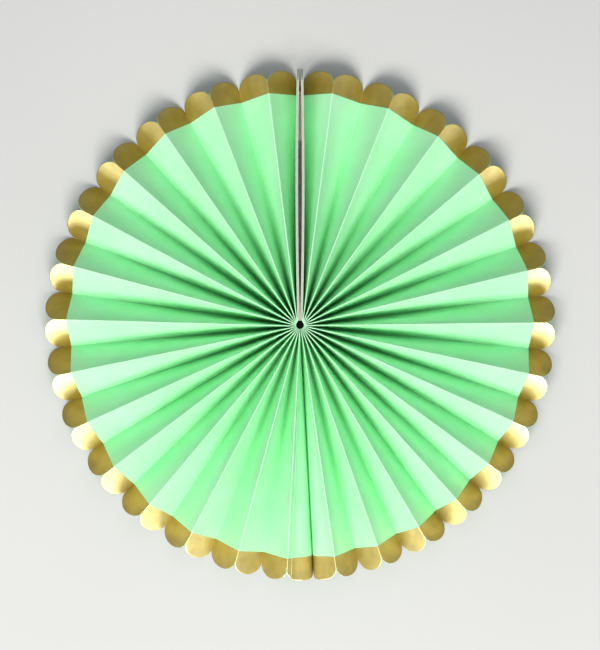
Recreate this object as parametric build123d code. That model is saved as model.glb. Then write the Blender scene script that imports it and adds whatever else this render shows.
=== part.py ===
from build123d import *
import os
from math import asin, cos, degrees, radians, sin, sqrt

# Paper fan rosette: two pleated paper strips gathered at a hub and opened into a full disc.
# It lies on its valley folds. +Z is the face of the fan and +Y points to the seam at 12 o'clock.
# The origin is the hub's centre on the surface that the fan lies on.
# Angles run clockwise from +Y, seen from +Z.

# Driving dimensions in millimetres
rim_radius = 115.0
scallop_height = 6.2
hub_radius = 2.3
pleat_depth = 20.0
paper = 0.18
glue_line = 0.03
board_thickness = 0.9
seam_gap_at_hub = 0.1
seam_gap_at_middle = 1.7
seam_gap_at_rim = 0.3
tape_length = 22.0
tape_width = 9.0
tape_height = 2.0
tape_setback = 4.0
thread_diameter = 0.5
thread_hole_diameter = 0.72
thread_ring_radius = 5.0
trim_margin = 3.0

# How the pleats are spread, in degrees. Spread ease above zero opens the pleats wider at the seam.
panels_per_sheet = 28
joint_angle = 177.0
spread_ease_right = 0.16
spread_ease_left = 0.075
lap_share = 0.85

# A panel stands upright at the hub and leans at the rim, so it is twisted. Its twist is faceted.
facets_along = 8
facets_across = 2
scallop_sides = 10
thread_sides = 8

# Worked out
notch_radius = rim_radius - scallop_height
raw_radius = rim_radius + trim_margin
board_height = pleat_depth
glued_thickness = board_thickness + glue_line + paper
lap_offset = paper + glue_line
shares = [k / facets_along for k in range(facets_along + 1)]


def direction(angle):
    """Unit plan vector at an angle clockwise from +Y."""
    return Vector(sin(radians(angle)), cos(radians(angle)), 0)


def between(a, b, share):
    """Point at a share of the way from a to b."""
    return a + (b - a) * share


def seam_gap(share):
    """Gap between the two boards at a share of the seam's length, widest near the middle."""
    from_hub = seam_gap_at_hub * (1 - share) * (1 - 2 * share)
    from_middle = seam_gap_at_middle * 4 * share * (1 - share)
    from_rim = seam_gap_at_rim * share * (2 * share - 1)
    return from_hub + from_middle + from_rim


def seam_line(offset):
    """Plan points that follow the right side of the bowed gap at an offset, hub to raw end."""
    start = sqrt(hub_radius**2 - (seam_gap_at_hub / 2 + glued_thickness) ** 2)
    end = sqrt(raw_radius**2 - (seam_gap_at_rim / 2 + glued_thickness) ** 2)
    return [Vector(seam_gap(share) / 2 + offset, start + (end - start) * share, 0) for share in shares]


def fold_line(number, last_inner, last_outer, ease):
    """Plan points of a fold at every station from the hub to its untrimmed outer end."""
    glued_fold = seam_line(glued_thickness)
    if number == 0:
        return glued_fold
    share = number / panels_per_sheet
    eased = share + ease * share * (1 - share)
    first_inner = degrees(asin(glued_fold[0].X / hub_radius))
    first_outer = degrees(asin(glued_fold[-1].X / raw_radius))
    inner = direction(first_inner + (last_inner - first_inner) * share) * hub_radius
    outer = direction(first_outer + (last_outer - first_outer) * eased) * raw_radius
    return [between(inner, outer, share) for share in shares]


def right_folds():
    """Folds of the right strip. Its last one leaves room for the left strip's glued panel."""
    last_inner = joint_angle - degrees(lap_offset / hub_radius)
    last_outer = joint_angle - degrees(lap_offset / raw_radius)
    return [fold_line(k, last_inner, last_outer, spread_ease_right) for k in range(panels_per_sheet + 1)]


def left_folds():
    """Folds of the left strip, counted from the seam and mirrored onto the right."""
    last = 360 - joint_angle
    return [fold_line(k, last, last, spread_ease_left) for k in range(panels_per_sheet + 1)]


def crest_heights(folds, number):
    """Heights of a mountain fold, which drops as its two panels are spread apart."""
    heights = []
    for before, after in zip(folds[number - 1], folds[number + 1]):
        spacing = (after - before).length / 2
        heights.append(paper + sqrt(pleat_depth**2 - (spacing - paper) ** 2))
    return heights


def level(height):
    return [height] * len(shares)


def rail(line, shift, heights):
    """Points of a crease edge, shifted square to the fold and lifted to its heights."""
    run = (line[-1] - line[0]).normalized()
    side = Vector(run.Y, -run.X, 0) * shift
    return [point + side + Vector(0, 0, z) for point, z in zip(line, heights)]


def mirrored(points):
    return [Vector(-p.X, p.Y, p.Z) for p in points]


def flat_faces(near, far):
    """Faces between two rails: flat quadrilaterals where they fit, else pairs of triangles.
    The line that splits a pair rises outwards."""
    faces = []
    for a, b, c, d in zip(near, near[1:], far[1:], far):
        if abs((b - a).cross(d - a).dot(c - a)) < 1e-6:
            outlines = [(a, b, c, d)]
        elif a.Z < d.Z:
            outlines = [(a, b, c), (a, c, d)]
        else:
            outlines = [(a, b, d), (b, c, d)]
        faces += [Face(Wire.make_polygon(outline, close=True)) for outline in outlines]
    return faces


class Strip:
    """Skin of a pleated strip, grown rail by rail along its upper and its lower side."""

    def __init__(self, upper, lower):
        self.upper = upper
        self.lower = lower
        self.faces = flat_faces(upper, lower)

    def grow(self, old, new, other, rows):
        """Faces from an old rail to a new one of the same side, and the strip's ends beside them."""
        rails = [[between(a, b, k / rows) for a, b in zip(old, new)] for k in range(rows + 1)]
        for near, far in zip(rails, rails[1:]):
            self.faces += flat_faces(near, far)
        for end in (0, -1):
            corners = [points[end] for points in rails] + [other[end]]
            self.faces.append(Face(Wire.make_polygon(corners, close=True)))

    def next_upper(self, upper, rows=1):
        self.grow(self.upper, upper, self.lower, rows)
        self.upper = upper

    def next_lower(self, lower, rows=1):
        self.grow(self.lower, lower, self.upper, rows)
        self.lower = lower

    def next_panel(self, upper, lower):
        self.next_upper(upper, facets_across)
        self.next_lower(lower, facets_across)

    def finish(self):
        self.faces += flat_faces(self.upper, self.lower)
        return Solid(Shell(self.faces))


def add_mountain(strip, folds, number):
    crest = crest_heights(folds, number)
    under_crest = [z - paper for z in crest]
    strip.next_panel(rail(folds[number], -paper, crest), rail(folds[number], 0, under_crest))
    strip.next_upper(rail(folds[number], paper, crest))


def add_valley(strip, folds, number):
    strip.next_panel(rail(folds[number], 0, level(paper)), rail(folds[number], -paper, level(0)))
    strip.next_lower(rail(folds[number], paper, level(0)))


def add_pleats(folds):
    """Strip from the panel on the end board to the last mountain fold."""
    free_edge = level(pleat_depth)
    strip = Strip(rail(folds[0], 0, free_edge), rail(folds[0], -paper, free_edge))
    for number in range(panels_per_sheet):
        if number % 2 == 0:
            add_valley(strip, folds, number)
        else:
            add_mountain(strip, folds, number)
    return strip


def left_strip():
    """The last panel runs down to a free edge at the joint, behind the right strip's lap."""
    folds = left_folds()
    strip = add_pleats(folds)
    strip.next_panel(rail(folds[-1], 0, level(0)), rail(folds[-1], -paper, level(0)))
    return mirror(strip.finish(), about=Plane.YZ)


def right_strip():
    """The last panel turns up at the joint as a lap on the front of the left strip's last panel."""
    folds = right_folds()
    strip = add_pleats(folds)
    add_valley(strip, folds, panels_per_sheet)
    under_lap = left_folds()
    crest = crest_heights(under_lap, panels_per_sheet - 1)
    front = mirrored(rail(under_lap[-2], lap_offset + paper, crest))
    back = mirrored(rail(under_lap[-2], lap_offset, crest))
    strip.next_panel(front, back)
    return strip.finish() - beyond_lap()


def beyond_lap():
    """What is cut off the lap, so that it covers only a share of the panel behind it."""
    last, mountain = left_folds()[-1], left_folds()[-2]
    edge = mirrored([between(last[k], mountain[k], lap_share) for k in (0, -1)])
    run = edge[1] - edge[0]
    inner, outer = edge[0] - run.normalized() * trim_margin, edge[1] + run.normalized() * trim_margin
    width = (mountain[-1] - last[-1]).length
    away = Vector(run.Y, -run.X, 0).normalized() * width
    plan = make_face(Polyline(inner, outer, outer + away, inner + away, close=True))
    return Pos(0, 0, -trim_margin) * extrude(plan, pleat_depth + 2 * trim_margin)


def notch_point(line):
    """Point of a fold where two scallops meet."""
    share = (notch_radius - line[0].length) / (line[-1].length - line[0].length)
    step = min(int(share * facets_along), facets_along - 1)
    return between(line[step], line[step + 1], share * facets_along - step)


def scallop(start, end):
    """Points of the tab after one notch. A round tab on a tilted panel shows as half an ellipse."""
    chord = end - start
    middle = (start + end) / 2
    outwards = Vector(-chord.Y, chord.X, 0).normalized() * scallop_height
    turns = [radians(180 * k / scallop_sides) for k in range(scallop_sides)]
    return [middle - chord / 2 * cos(turn) + outwards * sin(turn) for turn in turns]


def rim_outline():
    """Solid whose plan is the whole scalloped disc, as tall as the fan and more."""
    right = [notch_point(line) for line in right_folds()[:-1]]
    left = mirrored([notch_point(line) for line in left_folds()])
    notches = right + left[::-1]
    corners = [point for a, b in zip(notches, notches[1:]) for point in scallop(a, b)]
    beyond_tip = Vector(0, rim_radius - notch_radius + trim_margin, 0)
    corners += [notches[-1], notches[-1] + beyond_tip, notches[0] + beyond_tip]
    plan = make_face(Polyline(*corners, close=True))
    return Pos(0, 0, -trim_margin) * extrude(plan, pleat_depth + 2 * trim_margin)


def end_scallop(reach):
    """Solid that holds what stays of a seam panel or board, with its rounded outer end."""
    low = Vector(notch_radius, 0)
    tip = Vector(rim_radius, board_height / 2)
    high = Vector(notch_radius, board_height)
    sides = Polyline(high, (-hub_radius, board_height), (-hub_radius, 0), low)
    profile = make_face(Curve() + [ThreePointArc(low, tip, high), sides])
    return extrude(Plane.YZ * profile, reach, both=True)


def seam_end_cut():
    """What is cut off the two glued end panels beyond their rounded ends."""
    half_width = notch_point(seam_line(glued_thickness)).X + paper
    length = raw_radius - notch_radius + trim_margin
    height = board_height + 2 * trim_margin
    block = Box(2 * half_width, length, height, align=(Align.CENTER, Align.MIN, Align.MIN))
    return Pos(0, notch_radius, -trim_margin) * block - end_scallop(half_width + trim_margin)


def at_ring(line):
    """Point where a plan line from the hub outwards crosses the thread's ring."""
    start, run = line[0], line[-1] - line[0]
    lean, span = start.dot(run), run.dot(run)
    room = start.dot(start) - thread_ring_radius**2
    return start + run * ((sqrt(lean**2 - span * room) - lean) / span)


def thread_hole(line, reach):
    """Needle hole along the thread, through what stands on a plan line."""
    centre = at_ring(line)
    along_thread = Vector(centre.Y, -centre.X, 0)
    place = Plane(origin=centre + Vector(0, 0, pleat_depth / 2), z_dir=along_thread)
    return extrude(place * RegularPolygon(thread_hole_diameter / 2, thread_sides), reach / 2, both=True)


def seam_hole():
    """Hole through an end board and the panel that is glued to it."""
    return thread_hole(seam_line(glued_thickness / 2), glued_thickness + thread_hole_diameter)


def panel_holes(folds):
    """A hole in every panel, with the one at the seam."""
    holes = [seam_hole()]
    for before, after in zip(folds, folds[1:]):
        middle = [between(a, b, 0.5) for a, b in zip(before, after)]
        pitch = (at_ring(after) - at_ring(before)).length
        holes.append(thread_hole(middle, pitch))
    return holes


def lap_hole():
    """Hole through the lap, in line with the one through the panel behind it."""
    mountain, last = left_folds()[-2:]
    middle = [between(a, b, 0.5) for a, b in zip(mountain, last)]
    return thread_hole(mirrored(rail(middle, lap_offset, level(0))), 2 * paper)


def seam_slab(inner_offset, outer_offset):
    """Upright slab on the right of the seam, between two lines that follow it."""
    plan = make_face(Polyline(*seam_line(inner_offset), *seam_line(outer_offset)[::-1], close=True))
    return extrude(plan, board_height)


def end_board():
    """White card board on the right of the seam, bowed with it."""
    return (seam_slab(0, board_thickness) & end_scallop(rim_radius)) - seam_hole()


def seam_tape():
    """Tape that fills the lower part of the gap between the two boards near the rim."""
    edge = seam_line(0)
    gap = extrude(make_face(Polyline(*edge, *mirrored(edge)[::-1], close=True)), board_height)
    piece = Box(rim_radius, tape_length, tape_width, align=(Align.CENTER, Align.MAX, Align.MIN))
    return gap & Pos(0, notch_radius - tape_setback, tape_height) * piece


def centre_thread():
    """Thread ring through every panel, halfway up the pleats."""
    section = Pos(thread_ring_radius, pleat_depth / 2) * RegularPolygon(thread_diameter / 2, thread_sides)
    return revolve(Plane.XZ * section, Axis.Z)


def trimmed(strip, holes):
    """Strip cut to the scalloped disc, with its holes for the thread."""
    return (strip & rim_outline()) - seam_end_cut() - holes


def write(name, shape):
    export_step(Compound(shape.solids()), f"parts/{name}.step")
    print(name, len(shape.solids()), "solid", round(shape.volume, 2), "mm3, valid", shape.is_valid)


os.makedirs("parts", exist_ok=True)
left_holes = [mirror(hole, about=Plane.YZ) for hole in panel_holes(left_folds())]
write("sheet_right", trimmed(right_strip(), panel_holes(right_folds()) + [lap_hole()]))
write("sheet_left", trimmed(left_strip(), left_holes))
board = end_board()
write("end_board_right", board)
write("end_board_left", mirror(board, about=Plane.YZ))
write("seam_tape", seam_tape())
write("centre_thread", centre_thread())
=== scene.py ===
from math import asin, cos, degrees, pi, radians, sin, sqrt

import bpy
import bmesh
import numpy as np
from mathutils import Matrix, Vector, noise


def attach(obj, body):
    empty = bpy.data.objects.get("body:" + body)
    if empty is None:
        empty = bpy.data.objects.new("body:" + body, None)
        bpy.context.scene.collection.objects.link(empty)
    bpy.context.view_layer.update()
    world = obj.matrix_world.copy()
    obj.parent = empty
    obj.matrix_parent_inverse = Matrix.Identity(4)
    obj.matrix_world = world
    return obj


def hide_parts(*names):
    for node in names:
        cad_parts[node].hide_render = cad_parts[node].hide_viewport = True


# A pleated paper fan opened into a full disc. It lies on its valley folds with its face up.
# Metres, +Z is the face, +Y points to the seam at 12 o'clock, and angles run clockwise from +Y.

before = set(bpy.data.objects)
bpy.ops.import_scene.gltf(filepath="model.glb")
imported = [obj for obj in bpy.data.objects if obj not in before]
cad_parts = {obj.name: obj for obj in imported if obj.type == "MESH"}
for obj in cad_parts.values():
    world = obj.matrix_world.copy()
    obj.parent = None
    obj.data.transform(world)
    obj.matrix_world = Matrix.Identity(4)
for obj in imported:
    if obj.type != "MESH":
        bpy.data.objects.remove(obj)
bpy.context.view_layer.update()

# Driving dimensions, those of the solids
MM = 0.001
RIM_RADIUS = 115.0 * MM
SCALLOP_HEIGHT = 6.2 * MM
HUB_RADIUS = 2.3 * MM
PLEAT_DEPTH = 20.0 * MM
PAPER = 0.18 * MM
GLUE_LINE = 0.03 * MM
BOARD_THICKNESS = 0.9 * MM
SEAM_GAPS = (0.1 * MM, 1.7 * MM, 0.3 * MM)
TRIM_MARGIN = 3.0 * MM
THREAD_RING_RADIUS = 5.0 * MM
THREAD_DIAMETER = 0.5 * MM
PANELS_PER_SHEET = 28
JOINT_ANGLE = 177.0
SPREAD_EASE_RIGHT = 0.16
SPREAD_EASE_LEFT = 0.075
LAP_SHARE = 0.85

# What the surface adds to the solids. Shares are of a panel's width or of a fold's length.
HUB_END_RADIUS = 1.75 * MM
FOIL_RADIUS = 104.4 * MM
FOIL_OUTLINE = 0.28 * MM
CREASE_ROUND = 0.25 * PAPER
CREASE_SLIVER = 0.02 * MM
CREASE_SHARE = 0.012
# Share of a panel over which the paler ridge tint, wear with a painted highlight, fades out
WEAR_AND_HIGHLIGHT_SHARE = 0.06
PANEL_BOW = 0.3 * MM
BOW_BIAS = 0.35
BOW_GROWN_SHARE = 0.35
PANEL_RIPPLE = 0.16 * MM
LOBE_CURL = 0.7 * MM
CURL_POWER = 1.5

# The panels beside the joint are drawn in to its valley, by up to this part of the way to it.
JOINT_PINCH = 0.9
PINCH_REACH_SHARE = 0.7
# How much of that holds at the hub, halfway and at the rim, along X, Y and Z
PINCH_ALONG = np.array([[0.0, 0.0, 0.0], [0.8, 0.8, 0.0], [1.0, 1.0, 0.0]])

# Where the noise of each strip and of each kind of unevenness is read
SEED_RIGHT = 1.5
SEED_LEFT = 8.5
BOW_STEP, BOW_LAYER = 3.7, 0.5
CURL_STEP, CURL_LAYER = 2.3, 7.7
RIPPLE_STEP, RIPPLE_ACROSS, RIPPLE_ALONG = 5.1, 1.3, 3.2

# How finely the surface is divided
PANEL_COLUMNS = 14
HUB_TO_FOIL_ROWS = 40
LOBE_ROWS = 9
THREAD_TWISTS = 22
POINTS_PER_TWIST = 12
MERGE_DISTANCE = CREASE_SLIVER / 20
FLAT_TOLERANCE = 1e-6
SHORTEST_NORMAL = 1e-12

# Worked out
NOTCH_RADIUS = RIM_RADIUS - SCALLOP_HEIGHT
RAW_RADIUS = RIM_RADIUS + TRIM_MARGIN
FOLD_LENGTH = RAW_RADIUS - HUB_RADIUS
LAP_OFFSET = PAPER + GLUE_LINE
NOTCH_SHARE = (NOTCH_RADIUS - HUB_RADIUS) / FOLD_LENGTH
FOIL_SHARE = (FOIL_RADIUS - HUB_RADIUS) / FOLD_LENGTH
HUB_END_SHARE = (HUB_END_RADIUS - HUB_RADIUS) / FOLD_LENGTH

# Material slots of a strip
FRONT, FOIL, BACK, EDGE = range(4)
# The map of the back lies above that of the front by this part of the strip's width.
BACK_MAP_SHIFT = 0.25


def direction(angle):
    """Unit plan vector at an angle clockwise from +Y."""
    return np.array([sin(radians(angle)), cos(radians(angle))])


def seam_offset(gap):
    """Distance from the seam plane to the fold of the panel that is glued to the board."""
    return gap / 2 + BOARD_THICKNESS + GLUE_LINE + PAPER


def seam_line():
    """Plan points of the fold of the glued panel, which follows the bowed seam."""
    start = sqrt(HUB_RADIUS**2 - seam_offset(SEAM_GAPS[0]) ** 2)
    end = sqrt(RAW_RADIUS**2 - seam_offset(SEAM_GAPS[2]) ** 2)
    stations = (start, (start + end) / 2, end)
    return np.array([[seam_offset(gap), y] for gap, y in zip(SEAM_GAPS, stations)])


def fold_line(number, last_inner, last_outer, ease):
    """Plan points of a fold at the hub, halfway and at its untrimmed outer end."""
    if number == 0:
        return seam_line()
    share = number / PANELS_PER_SHEET
    eased = share + ease * share * (1 - share)
    first_inner = degrees(asin(seam_offset(SEAM_GAPS[0]) / HUB_RADIUS))
    first_outer = degrees(asin(seam_offset(SEAM_GAPS[2]) / RAW_RADIUS))
    inner = direction(first_inner + (last_inner - first_inner) * share) * HUB_RADIUS
    outer = direction(first_outer + (last_outer - first_outer) * eased) * RAW_RADIUS
    return np.array([inner, (inner + outer) / 2, outer])


def right_folds():
    last_inner = JOINT_ANGLE - degrees(LAP_OFFSET / HUB_RADIUS)
    last_outer = JOINT_ANGLE - degrees(LAP_OFFSET / RAW_RADIUS)
    numbers = range(PANELS_PER_SHEET + 1)
    return [fold_line(k, last_inner, last_outer, SPREAD_EASE_RIGHT) for k in numbers]


def left_folds():
    """Folds of the left strip, mirrored onto the right."""
    last = 360 - JOINT_ANGLE
    return [fold_line(k, last, last, SPREAD_EASE_LEFT) for k in range(PANELS_PER_SHEET + 1)]


def crest_heights(folds, number):
    """Heights of a mountain fold, which drops as its two panels are spread apart."""
    spacing = np.linalg.norm(folds[number + 1] - folds[number - 1], axis=1) / 2
    return PAPER + np.sqrt(PLEAT_DEPTH**2 - (spacing - PAPER) ** 2)


def rail(line, shift, heights):
    """Three points of a crease edge, shifted square to the fold and lifted to its heights."""
    run = line[2] - line[0]
    run = run / np.linalg.norm(run)
    side = np.array([run[1], -run[0]]) * shift
    return np.column_stack([line + side, np.broadcast_to(heights, 3)])


def mirrored(points):
    return points * np.array([-1.0, 1.0, 1.0])


def along(stations, shares):
    """Smooth curve through three stations, at shares of its length."""
    s = np.asarray(shares)[:, None]
    start, middle, end = stations
    return start * (1 - s) * (1 - 2 * s) + middle * 4 * s * (1 - s) + end * s * (2 * s - 1)


def scallop_reach(point, start, end):
    """How far a scallop stands out of its chord at a plan point of that chord."""
    chord = end - start
    share = float(np.dot(point - start, chord) / np.dot(chord, chord))
    return SCALLOP_HEIGHT * sqrt(max(0.0, 1 - (2 * share - 1) ** 2))


def end_reach(height):
    """How far the rounded end of an upright glued panel stands out of the notch radius."""
    radius = (PLEAT_DEPTH**2 / 4 + SCALLOP_HEIGHT**2) / (2 * SCALLOP_HEIGHT)
    from_middle = min(abs(height - PLEAT_DEPTH / 2), PLEAT_DEPTH / 2)
    return sqrt(radius**2 - from_middle**2) - (radius - SCALLOP_HEIGHT)


def row_shares(reach):
    """Shares of the fold's length of every row, from the hub to the edge of the lobe."""
    outline = FOIL_OUTLINE / FOLD_LENGTH
    inner = np.linspace(HUB_END_SHARE, FOIL_SHARE, HUB_TO_FOIL_ROWS)
    border = [FOIL_SHARE + outline, (FOIL_SHARE + NOTCH_SHARE) / 2, NOTCH_SHARE - outline]
    tip = NOTCH_SHARE + reach / FOLD_LENGTH
    rounding = np.sin(np.linspace(0, pi / 2, LOBE_ROWS))
    lobe = border[-1] + (tip - outline - border[-1]) * rounding[1:]
    return np.concatenate([inner, border, lobe, [tip]])


class Column:
    """One line of points along the strip, from the hub to the rim, on its front and its back.

    flat is its place across the unfolded strip. sink holds its panel, the strip's seed, its
    share of the panel's width and how much of the bow it takes. It is None on folds and edges."""

    def __init__(self, front, back, flat, wear_and_highlight=0.0, sink=None):
        self.front = front
        self.back = back
        self.flat = flat
        self.wear_and_highlight = wear_and_highlight
        self.sink = sink
        self.reach = 0.0


def fold_columns(folds, number):
    """Three columns over a fold: the crease is a narrow rounded flat."""
    line = folds[number]
    mountain = number % 2 == 1
    height = crest_heights(folds, number) if mountain else np.full(3, PAPER)
    front_width = PAPER if mountain else CREASE_SLIVER
    back_width = CREASE_SLIVER if mountain else PAPER
    flat = (number + 1) * PLEAT_DEPTH
    columns = []
    for side in (-1, 0, 1):
        front_drop = CREASE_ROUND * abs(side) if mountain else 0.0
        back_lift = 0.0 if mountain else CREASE_ROUND * abs(side)
        front = rail(line, side * front_width, height - front_drop)
        back = rail(line, side * back_width, height - PAPER + back_lift)
        # A mountain crest gets the paler ridge tint: worn fibres and a painted highlight.
        columns.append(Column(front, back, flat, wear_and_highlight=1.0 if mountain else 0.0))
    return columns


def panel_columns(before, after, seed, panel, stiff=False):
    """Columns between two folds, closer together near the folds."""
    turns = np.linspace(0, pi, PANEL_COLUMNS)
    shares = [CREASE_SHARE + (1 - 2 * CREASE_SHARE) * (1 - cos(turn)) / 2 for turn in turns]
    columns = []
    for share in shares:
        front = before.front * (1 - share) + after.front * share
        back = before.back * (1 - share) + after.back * share
        flat = before.flat * (1 - share) + after.flat * share
        wear_and_highlight_before = max(0.0, 1 - share / WEAR_AND_HIGHLIGHT_SHARE) * before.wear_and_highlight
        wear_and_highlight_after = max(0.0, 1 - (1 - share) / WEAR_AND_HIGHLIGHT_SHARE) * after.wear_and_highlight
        bulge = 0.0 if stiff else 4 * share * (1 - share)
        sink = (panel, seed, share, bulge)
        columns.append(Column(front, back, flat, wear_and_highlight_before + wear_and_highlight_after, sink))
    return columns


def panel_noise(panel, seed, step, layer):
    """Noise that is the same all over one panel."""
    return noise.noise(Vector((panel * step, seed, layer)))


def sink_along(column, shares, normal):
    """Displacement of a column's points for the bow, the ripple and the curl of its panel."""
    if column.sink is None:
        return np.zeros((len(shares), 3))
    panel, seed, share, bulge = column.sink
    grown = np.minimum(1.0, shares / BOW_GROWN_SHARE) ** 2
    bow = PANEL_BOW * (BOW_BIAS + panel_noise(panel, seed, BOW_STEP, BOW_LAYER))
    across = panel * RIPPLE_STEP + share * RIPPLE_ACROSS
    ripple = [noise.noise(Vector((across, s * RIPPLE_ALONG, seed))) for s in shares]
    size = grown * (bow + PANEL_RIPPLE * np.array(ripple))
    on_lobe = np.clip((shares - FOIL_SHARE) / (1 - FOIL_SHARE), 0, 1)
    curl = 2 * LOBE_CURL * panel_noise(panel, seed, CURL_STEP, CURL_LAYER)
    size += curl * on_lobe**CURL_POWER
    return bulge * size[:, None] * normal


def pleats(folds, seed):
    """Columns from the free edge of the glued panel to just before the last fold."""
    top = np.full(3, PLEAT_DEPTH)
    free_edge = Column(rail(folds[0], 0, top), rail(folds[0], -PAPER, top), 0.0)
    valley = fold_columns(folds, 0)
    columns = [free_edge] + panel_columns(free_edge, valley[0], seed, -1, stiff=True) + valley
    for number in range(1, PANELS_PER_SHEET):
        fold = fold_columns(folds, number)
        columns += panel_columns(columns[-1], fold[0], seed, number - 1)
        columns += fold
    return columns


def right_columns():
    """The strip ends in a lap on the front of the left strip's last panel."""
    folds = right_folds()
    columns = pleats(folds, SEED_RIGHT)
    valley = fold_columns(folds, PANELS_PER_SHEET)
    columns += panel_columns(columns[-1], valley[0], SEED_RIGHT, PANELS_PER_SHEET - 1)
    columns += valley
    under = left_folds()
    crest = crest_heights(under, PANELS_PER_SHEET - 1)
    front = mirrored(rail(under[-2], LAP_OFFSET + PAPER, crest))
    back = mirrored(rail(under[-2], LAP_OFFSET, crest))
    start = columns[-1]
    lap_front = start.front * (1 - LAP_SHARE) + front * LAP_SHARE
    lap_back = start.back * (1 - LAP_SHARE) + back * LAP_SHARE
    lap_edge = Column(lap_front, lap_back, start.flat + LAP_SHARE * PLEAT_DEPTH)
    columns += panel_columns(start, lap_edge, SEED_RIGHT, PANELS_PER_SHEET, stiff=True)
    return columns + [lap_edge]


def left_columns():
    """The last panel runs down to a free edge at the joint, behind the lap."""
    folds = left_folds()
    columns = pleats(folds, SEED_LEFT)
    low = np.zeros(3)
    flat = (PANELS_PER_SHEET + 1) * PLEAT_DEPTH
    edge = Column(rail(folds[-1], 0, low), rail(folds[-1], -PAPER, low), flat)
    columns += panel_columns(columns[-1], edge, SEED_LEFT, PANELS_PER_SHEET - 1, stiff=True)
    return columns + [edge]


def notches(folds):
    """Plan points where the scallops meet, one on each fold."""
    return [along(rail(line, 0, 0.0), [NOTCH_SHARE])[0][:2] for line in folds]


def right_marks():
    """Notches of the right strip, and the next one of the left strip for the lap's edge."""
    left = [point * np.array([-1.0, 1.0]) for point in notches(left_folds())]
    return notches(right_folds())[:-1] + [left[-1], left[-2]]


def set_reaches(columns, marks):
    """Gives each column the reach of the scallop that it ends in."""
    for column in columns:
        at_notch = along(column.front, [NOTCH_SHARE])[0]
        if column.flat < PLEAT_DEPTH * (1 - FLAT_TOLERANCE):
            column.reach = end_reach(at_notch[2])
        else:
            panel = int(column.flat / PLEAT_DEPTH + FLAT_TOLERANCE) - 1
            panel = min(panel, len(marks) - 2)
            column.reach = scallop_reach(at_notch[:2], marks[panel], marks[panel + 1])


def pinch_joint(columns):
    """Draws the panels in to the glued valley at the joint, which makes it a narrow slot."""
    joint = (PANELS_PER_SHEET + 1) * PLEAT_DEPTH
    valley = min(columns, key=lambda column: abs(column.flat - joint)).front
    for column in columns:
        apart = abs(column.flat - joint) / PLEAT_DEPTH
        share = JOINT_PINCH * max(0.0, 1 - (apart / PINCH_REACH_SHARE) ** 2)
        draw = share * PINCH_ALONG * (valley - column.front)
        column.front = column.front + draw
        column.back = column.back + draw


def strip_grids(columns):
    """Front and back points of the strip, one row of the array for each column."""
    fronts, backs = [], []
    for i, column in enumerate(columns):
        shares = row_shares(column.reach)
        front = along(column.front, shares)
        back = along(column.back, shares)
        before = along(columns[max(i - 1, 0)].front, shares)
        after = along(columns[min(i + 1, len(columns) - 1)].front, shares)
        normal = np.cross(after - before, np.gradient(front, axis=0))
        length = np.linalg.norm(normal, axis=1, keepdims=True)
        normal = normal / np.maximum(length, SHORTEST_NORMAL)
        move = sink_along(column, shares, normal)
        fronts.append(front + move)
        backs.append(back + move)
    return np.array(fronts), np.array(backs)


def strip_faces(count, rows, flip):
    """Quads of both sides and the four edges, with the material slot of each."""
    size = count * rows
    front = np.arange(size).reshape(count, rows)
    back = front + size
    faces, slots = [], []

    def add(a, b, c, d, slot):
        faces.append((d, c, b, a) if flip else (a, b, c, d))
        slots.append(slot)

    for i in range(count - 1):
        for j in range(rows - 1):
            side = FOIL if j >= HUB_TO_FOIL_ROWS - 1 else FRONT
            add(front[i, j], front[i + 1, j], front[i + 1, j + 1], front[i, j + 1], side)
            add(back[i, j], back[i, j + 1], back[i + 1, j + 1], back[i + 1, j], BACK)
        add(front[i, 0], back[i, 0], back[i + 1, 0], front[i + 1, 0], EDGE)
        add(front[i, -1], front[i + 1, -1], back[i + 1, -1], back[i, -1], EDGE)
    for j in range(rows - 1):
        add(front[0, j], front[0, j + 1], back[0, j + 1], back[0, j], EDGE)
        add(front[-1, j], back[-1, j], back[-1, j + 1], front[-1, j + 1], EDGE)
    return faces, slots


def outline_mark(rows):
    """One on the rows at the edges of the foil, zero elsewhere."""
    mark = np.zeros(rows)
    mark[HUB_TO_FOIL_ROWS - 1] = 1.0
    mark[-1] = 1.0
    return mark


def add_values(mesh, name, values):
    """Stores the values of the front's points as an attribute that is zero on the back."""
    both = np.concatenate([values, values * 0])
    layer = mesh.attributes.new(name, "FLOAT", "POINT")
    layer.data.foreach_set("value", both.astype(np.float32))


def add_flat_map(mesh, columns, rows):
    """Maps the strip as it lies flat before it is folded, the back above the front."""
    width = (PANELS_PER_SHEET + 2) * PLEAT_DEPTH
    across = np.repeat([c.flat for c in columns], rows)
    up = np.concatenate([row_shares(c.reach) * FOLD_LENGTH for c in columns])
    front = np.column_stack([across, up]) / width
    back = np.column_stack([across, up + BACK_MAP_SHIFT * width]) / width
    points = np.concatenate([front, back])
    corner = np.zeros(len(mesh.loops), dtype=np.int32)
    mesh.loops.foreach_get("vertex_index", corner)
    layer = mesh.uv_layers.new(name="flat")
    layer.data.foreach_set("uv", points[corner].astype(np.float32).ravel())


def merge_doubles(mesh):
    whole = bmesh.new()
    whole.from_mesh(mesh)
    bmesh.ops.remove_doubles(whole, verts=whole.verts, dist=MERGE_DISTANCE)
    whole.to_mesh(mesh)
    whole.free()


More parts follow.
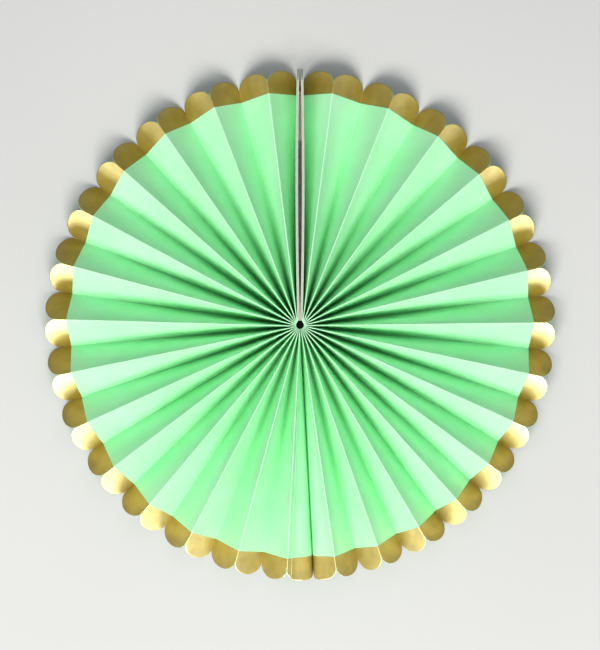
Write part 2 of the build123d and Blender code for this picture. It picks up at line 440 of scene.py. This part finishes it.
def build_strip(name, columns, marks, left):
    """Object of one pleated strip."""
    set_reaches(columns, marks)
    pinch_joint(columns)
    front, back = strip_grids(columns)
    if left:
        front = mirrored(front)
        back = mirrored(back)
    count, rows = front.shape[:2]
    faces, slots = strip_faces(count, rows, flip=left)
    points = np.concatenate([front.reshape(-1, 3), back.reshape(-1, 3)])
    mesh = bpy.data.meshes.new(name)
    mesh.from_pydata(points.tolist(), [], faces)
    mesh.polygons.foreach_set("material_index", slots)
    add_values(mesh, "wear_and_highlight", np.repeat([c.wear_and_highlight for c in columns], rows))
    add_values(mesh, "outline", np.tile(outline_mark(rows), count))
    add_flat_map(mesh, columns, rows)
    merge_doubles(mesh)
    mesh.polygons.foreach_set("use_smooth", [True] * len(mesh.polygons))
    strip = bpy.data.objects.new(name, mesh)
    bpy.context.scene.collection.objects.link(strip)
    return strip


class Surface:
    """A material and short ways to add the nodes of its grain, colour and relief."""

    def __init__(self, name):
        self.material = bpy.data.materials.new(name)
        self.material.use_nodes = True
        self.nodes = self.material.node_tree.nodes
        self.links = self.material.node_tree.links
        self.shader = self.nodes["Principled BSDF"]
        self.place = self.nodes.new("ShaderNodeTexCoord")

    def stretched(self, scale):
        """Object coordinates with their own scale along each axis."""
        mapping = self.nodes.new("ShaderNodeMapping")
        mapping.inputs["Scale"].default_value = scale
        self.links.new(self.place.outputs["Object"], mapping.inputs["Vector"])
        return mapping.outputs["Vector"]

    def noise(self, scale, detail=2.0, vector=None, distortion=0.0):
        node = self.nodes.new("ShaderNodeTexNoise")
        node.inputs["Scale"].default_value = scale
        node.inputs["Detail"].default_value = detail
        node.inputs["Distortion"].default_value = distortion
        self.links.new(vector or self.place.outputs["Object"], node.inputs["Vector"])
        return node.outputs["Fac"]

    def cells(self, scale):
        """Distance from the middle of the cell that a point lies in."""
        node = self.nodes.new("ShaderNodeTexVoronoi")
        node.inputs["Scale"].default_value = scale
        self.links.new(self.place.outputs["Object"], node.inputs["Vector"])
        return node.outputs["Distance"]

    def attribute(self, name):
        node = self.nodes.new("ShaderNodeAttribute")
        node.attribute_name = name
        return node.outputs["Fac"]

    def facing(self, axis):
        """One where the surface is square to an axis, zero where it runs along it."""
        split = self.nodes.new("ShaderNodeSeparateXYZ")
        self.links.new(self.place.outputs["Normal"], split.inputs["Vector"])
        size = self.nodes.new("ShaderNodeMath")
        size.operation = "ABSOLUTE"
        self.links.new(split.outputs[axis], size.inputs[0])
        return size.outputs["Value"]

    def ramp(self, value, low, high, out_low=0.0, out_high=1.0):
        """Carries values from low to high over to the range from out_low to out_high."""
        node = self.nodes.new("ShaderNodeMapRange")
        settings = {"From Min": low, "From Max": high, "To Min": out_low, "To Max": out_high}
        for socket, number in settings.items():
            node.inputs[socket].default_value = number
        self.links.new(value, node.inputs["Value"])
        return node.outputs["Result"]

    def blend(self, factor, first, second):
        """Mixes two colours, each a tuple or the output of another blend."""
        node = self.nodes.new("ShaderNodeMix")
        node.data_type = "RGBA"
        self.links.new(factor, node.inputs["Factor"])
        colours = [s for s in node.inputs if s.type == "RGBA"]
        for socket, colour in zip(colours, (first, second)):
            if isinstance(colour, tuple):
                socket.default_value = (*colour, 1.0)
            else:
                self.links.new(colour, socket)
        return next(s for s in node.outputs if s.type == "RGBA")

    def relief(self, heights):
        """Adds bumps, each given as a height output and its depth in metres."""
        normal = None
        for height, depth in heights:
            node = self.nodes.new("ShaderNodeBump")
            node.inputs["Distance"].default_value = depth
            self.links.new(height, node.inputs["Height"])
            if normal:
                self.links.new(normal, node.inputs["Normal"])
            normal = node.outputs["Normal"]
        self.links.new(normal, self.shader.inputs["Normal"])

    def colour(self, output):
        self.links.new(output, self.shader.inputs["Base Color"])

    def roughness(self, output):
        self.links.new(output, self.shader.inputs["Roughness"])


MINT = (0.385, 0.815, 0.49)
MINT_PALE = (0.435, 0.835, 0.54)
MINT_DEEP = (0.323, 0.785, 0.43)
# Paler tint of the mountain ridges: worn fibres, and a painted highlight of the lit crests.
MINT_WORN_AND_HIGHLIT = (0.455, 0.845, 0.55)
GOLD = (0.235, 0.162, 0.012)
GOLD_PALE = (0.33, 0.24, 0.032)
GOLD_DARK = (0.14, 0.08, 0.01)
GOLD_GLOSS = (1.0, 0.97, 0.60, 1.0)
CARD = (0.84, 0.83, 0.80)
CARD_FIBRE = (0.70, 0.68, 0.64)
CARD_CORE = (0.36, 0.35, 0.32)
# Both foam tones are greyer than the white foam: painted shade of the deep seam slot where the
# tape lies.
FOAM_PAINTED_SHADE = (0.74, 0.73, 0.70)
FOAM_DEEP_PAINTED_SHADE = (0.5, 0.49, 0.46)
COTTON = (0.88, 0.87, 0.82)
FLOOR = (0.52, 0.53, 0.55)
FLOOR_SHADE = (0.50, 0.51, 0.53)


def shade(colour, factor):
    return tuple(factor * c for c in colour)


def mint_paper(name, worn_highlit_folds):
    """Uncoated coloured paper, no gloss: cloudy tint, fine fibres, worn ridges with a painted
    highlight.
    """
    surface = Surface(name)
    clouds = surface.ramp(surface.noise(scale=55.0, detail=3.0), low=0.35, high=0.65)
    elongated = surface.stretched((1.0, 0.35, 0.6))
    fibres = surface.noise(scale=900.0, detail=3.0, vector=elongated, distortion=1.5)
    flecks = surface.ramp(surface.noise(scale=2600.0), low=0.62, high=0.72, out_high=0.35)
    tint = surface.blend(clouds, MINT, MINT_PALE)
    tint = surface.blend(surface.ramp(fibres, low=0.55, high=0.8, out_high=0.5), tint, MINT_DEEP)
    tint = surface.blend(flecks, tint, MINT_PALE)
    if worn_highlit_folds:
        # Paler ridges: worn fibres at the crease, with a painted highlight on top.
        ridge_wear_and_highlight = surface.ramp(surface.attribute("wear_and_highlight"), low=0.0, high=1.0, out_high=0.8)
        tint = surface.blend(ridge_wear_and_highlight, tint, MINT_WORN_AND_HIGHLIT)
    surface.colour(tint)
    surface.roughness(surface.ramp(fibres, low=0.3, high=0.7, out_low=0.72, out_high=0.86))
    surface.shader.inputs["Specular IOR Level"].default_value = 0.0
    surface.relief([(fibres, 0.05 * MM), (surface.noise(scale=220.0), 0.06 * MM)])
    return surface.material


def gold_foil():
    """Hot-stamped foil: metal that shows the paper's grain, with darker outlines."""
    surface = Surface("gold_foil")
    clouds = surface.ramp(surface.noise(scale=110.0), low=0.32, high=0.68)
    elongated = surface.stretched((1.0, 0.5, 0.7))
    grain = surface.noise(scale=1400.0, detail=3.0, vector=elongated, distortion=1.0)
    metal = surface.blend(clouds, GOLD, GOLD_PALE)
    outline = surface.ramp(surface.attribute("outline"), low=0.1, high=0.9)
    surface.colour(surface.blend(outline, metal, GOLD_DARK))
    surface.shader.inputs["Metallic"].default_value = 0.25
    surface.shader.inputs["IOR"].default_value = 2.3
    surface.shader.inputs["Specular Tint"].default_value = GOLD_GLOSS
    surface.roughness(surface.ramp(grain, low=0.3, high=0.7, out_low=0.44, out_high=0.57))
    surface.relief([(grain, 0.012 * MM), (surface.noise(scale=300.0), 0.05 * MM)])
    return surface.material


def white_card():
    """Dense white card, with the greyer core and its layers showing on the cut edges."""
    surface = Surface("white_card")
    clouds = surface.ramp(surface.noise(scale=90.0, detail=3.0), low=0.35, high=0.65)
    layered = surface.stretched((14.0, 1.0, 1.0))
    layers = surface.noise(scale=400.0, vector=layered, distortion=0.5)
    face = surface.blend(clouds, CARD, shade(CARD, 0.94))
    face = surface.blend(surface.ramp(layers, low=0.5, high=0.75, out_high=0.6), face, CARD_FIBRE)
    streaks = surface.ramp(layers, low=0.35, high=0.65)
    core = surface.blend(streaks, CARD_CORE, shade(CARD_CORE, 1.3))
    on_face = surface.ramp(surface.facing("X"), low=0.3, high=0.7)
    surface.colour(surface.blend(on_face, core, face))
    surface.roughness(surface.ramp(layers, low=0.3, high=0.7, out_low=0.7, out_high=0.88))
    surface.shader.inputs["Specular IOR Level"].default_value = 0.15
    surface.relief([(layers, 0.06 * MM), (surface.noise(scale=1500.0), 0.03 * MM)])
    return surface.material


def foam_tape():
    """White foam with fine open cells, greyed all over as painted shade of the deep slot in the
    seam.
    """
    surface = Surface("foam_tape")
    cells = surface.cells(scale=2200.0)
    surface.colour(surface.blend(surface.ramp(cells, low=0.1, high=0.6), FOAM_PAINTED_SHADE, FOAM_DEEP_PAINTED_SHADE))
    surface.shader.inputs["Roughness"].default_value = 0.85
    surface.relief([(cells, 0.08 * MM)])
    return surface.material


def cotton():
    surface = Surface("cotton_thread")
    fuzz = surface.noise(scale=5200.0, detail=3.0)
    strands = surface.ramp(fuzz, low=0.35, high=0.7)
    surface.colour(surface.blend(strands, COTTON, shade(COTTON, 0.8)))
    surface.shader.inputs["Roughness"].default_value = 0.9
    surface.relief([(fuzz, 0.04 * MM)])
    return surface.material


def thread_ply(name, turn):
    """One of the two plies of the thread, laid round the ring as a helix."""
    steps = THREAD_TWISTS * POINTS_PER_TWIST
    ply_radius = THREAD_DIAMETER / 4
    curve = bpy.data.curves.new(name, "CURVE")
    curve.dimensions = "3D"
    spline = curve.splines.new("NURBS")
    spline.points.add(steps - 1)
    for i, point in enumerate(spline.points):
        angle = 2 * pi * i / steps
        lay = THREAD_TWISTS * angle + turn
        radius = THREAD_RING_RADIUS + ply_radius * cos(lay)
        height = PLEAT_DEPTH / 2 + ply_radius * sin(lay)
        point.co = (radius * cos(angle), radius * sin(angle), height, 1.0)
    spline.use_cyclic_u = True
    spline.order_u = 3
    curve.bevel_depth = ply_radius
    curve.bevel_resolution = 3
    curve.resolution_u = 2
    ply = bpy.data.objects.new(name, curve)
    bpy.context.scene.collection.objects.link(ply)
    return ply


def dress_strips():
    """Replaces the two strips. Their coats stand in the order of the material slots."""
    coats = [mint_paper("mint_paper_front", True), gold_foil()]
    coats += [mint_paper("mint_paper_back", False), mint_paper("mint_paper_edge", False)]
    right = build_strip("pleated_sheet_right", right_columns(), right_marks(), left=False)
    left = build_strip("pleated_sheet_left", left_columns(), notches(left_folds()), left=True)
    for strip, node in ((right, "sheet_right"), (left, "sheet_left")):
        for coat in coats:
            strip.data.materials.append(coat)
        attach(strip, "root")
        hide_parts(node)


def coat_solid(node, material):
    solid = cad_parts[node]
    solid.data.materials.clear()
    solid.data.materials.append(material)


def dress_rest():
    """Coats the boards and the tape, and replaces the thread by its two plies."""
    card = white_card()
    for node in ("end_board_right", "end_board_left"):
        coat_solid(node, card)
    coat_solid("seam_tape", foam_tape())
    yarn = cotton()
    for name, turn in (("thread_ply_a", 0.0), ("thread_ply_b", pi)):
        ply = thread_ply(name, turn)
        ply.data.materials.append(yarn)
        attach(ply, "root")
        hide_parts("centre_thread")


# The room: a pale floor, light from below the picture and a surround that is brightest overhead
CAMERA_HEIGHT = 0.85
PICTURE_HEIGHT = 0.292
SENSOR = 36.0
FLOOR_SIZE = 6.0
FLOOR_DROP = 0.05 * MM
HORIZON_Z = 0.05
OVERHEAD_Z = 0.85


def add_camera():
    data = bpy.data.cameras.new("camera")
    data.sensor_width = SENSOR
    data.lens = SENSOR * (CAMERA_HEIGHT - PLEAT_DEPTH / 2) / PICTURE_HEIGHT
    camera = bpy.data.objects.new("camera", data)
    camera.location = (0, 0, CAMERA_HEIGHT)
    bpy.context.scene.collection.objects.link(camera)
    bpy.context.scene.camera = camera


def add_floor():
    bpy.ops.mesh.primitive_plane_add(size=FLOOR_SIZE, location=(0, 0, -FLOOR_DROP))
    floor = bpy.context.object
    floor.name = "floor"
    surface = Surface("pale_floor")
    clouds = surface.ramp(surface.noise(scale=3.0), low=0.4, high=0.6)
    surface.colour(surface.blend(clouds, FLOOR, FLOOR_SHADE))
    surface.shader.inputs["Roughness"].default_value = 0.9
    surface.shader.inputs["Specular IOR Level"].default_value = 0.0
    floor.data.materials.append(surface.material)


def add_light(name, place, size, power, colour=(1, 1, 1)):
    """Area light that points at the middle of the fan."""
    data = bpy.data.lights.new(name, "AREA")
    data.shape = "RECTANGLE"
    data.size, data.size_y = size
    data.energy = power
    data.color = colour
    light = bpy.data.objects.new(name, data)
    light.location = place
    light.rotation_euler = (-Vector(place)).to_track_quat("-Z", "Y").to_euler()
    bpy.context.scene.collection.objects.link(light)
    return light


def add_world(at_horizon, overhead):
    """Soft surround that grows brighter from the horizon up."""
    world = bpy.data.worlds.new("studio")
    bpy.context.scene.world = world
    world.use_nodes = True
    nodes = world.node_tree.nodes
    links = world.node_tree.links
    place = nodes.new("ShaderNodeTexCoord")
    split = nodes.new("ShaderNodeSeparateXYZ")
    level = nodes.new("ShaderNodeMapRange")
    level.inputs["From Min"].default_value = HORIZON_Z
    level.inputs["From Max"].default_value = OVERHEAD_Z
    level.inputs["To Min"].default_value = at_horizon
    level.inputs["To Max"].default_value = overhead
    links.new(place.outputs["Generated"], split.inputs["Vector"])
    links.new(split.outputs["Z"], level.inputs["Value"])
    links.new(level.outputs["Result"], nodes["Background"].inputs["Strength"])
    nodes["Background"].inputs["Color"].default_value = (1, 1, 1, 1)


dress_strips()
dress_rest()
add_camera()
add_floor()
add_light("key", place=(-0.12, -0.78, 1.10), size=(1.2, 0.6), power=25.5, colour=(1.0, 0.98, 0.88))
# The low light is seen in reflections alone, for the gloss of the foil.
low_light = add_light("low", place=(0.0, -1.4, 0.50), size=(2.0, 0.5), power=340.0)
low_light.visible_diffuse = False
add_world(at_horizon=0.2, overhead=0.66)
bpy.context.scene.view_settings.view_transform = "Standard"
bpy.context.scene.cycles.diffuse_bounces = 8
bpy.context.scene.cycles.max_bounces = 14
